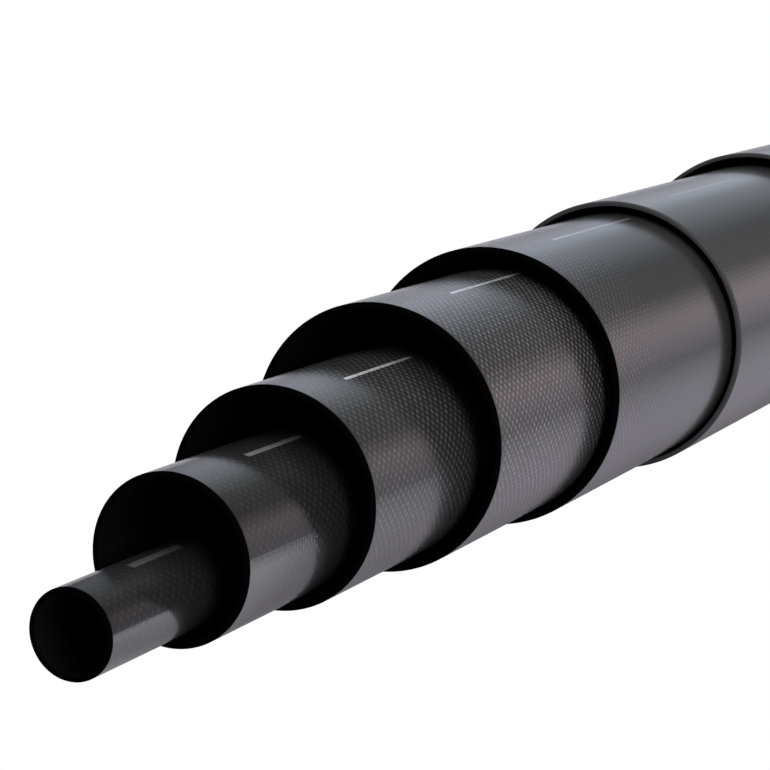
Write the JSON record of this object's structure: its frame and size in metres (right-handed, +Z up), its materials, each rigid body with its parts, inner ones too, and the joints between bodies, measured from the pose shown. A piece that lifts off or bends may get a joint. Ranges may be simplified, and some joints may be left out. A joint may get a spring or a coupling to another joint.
{
  "type": "coarse fishing pole",
  "caption": "Take-apart coarse fishing pole of tapered woven carbon tubes, nested one in another with their open fat ends drawn out in steps.",
  "frame": {"origin": "middle of the pole's length, on the surface that the butt section lies on", "axes": "+X along the pole from the open mouths towards the butt section's thin male end, +Z up"},
  "size_m": [1.712, 0.0478, 0.048],
  "materials": {
    "carbon": "clear lacquer over woven carbon, satin gloss",
    "tip_bush": "slippery white plastic"
  },
  "bodies": {
    "butt": {"butt_section": "carbon"},
    "section_7": {"section_7": "carbon"},
    "section_6": {"section_6": "carbon"},
    "section_5": {"section_5": "carbon"},
    "section_4": {"section_4": "carbon"},
    "section_3": {"section_3": "carbon"},
    "section_2": {"section_2": "carbon"},
    "tip": {"tip_section": "carbon", "tip_bush": "tip_bush"}
  },
  "joints": [
    {"name": "section_7_slide", "type": "slide", "parent": "butt", "child": "section_7", "axis": [-1, 0, 0], "range_m": [-0.072, 1.428]},
    {"name": "section_6_slide", "type": "slide", "parent": "section_7", "child": "section_6", "axis": [-1, 0, 0], "range_m": [-0.051, 1.449]},
    {"name": "section_5_slide", "type": "slide", "parent": "section_6", "child": "section_5", "axis": [-1, 0, 0], "range_m": [-0.037, 1.463]},
    {"name": "section_4_slide", "type": "slide", "parent": "section_5", "child": "section_4", "axis": [-1, 0, 0], "range_m": [-0.028, 1.472]},
    {"name": "section_3_slide", "type": "slide", "parent": "section_4", "child": "section_3", "axis": [-1, 0, 0], "range_m": [-0.024, 1.476]},
    {"name": "section_2_slide", "type": "slide", "parent": "section_3", "child": "section_2", "axis": [-1, 0, 0], "range_m": [-0.02, 1.48]},
    {"name": "tip_slide", "type": "slide", "parent": "section_2", "child": "tip", "axis": [-1, 0, 0], "range_m": [-0.03, 1.463]}
  ]
}
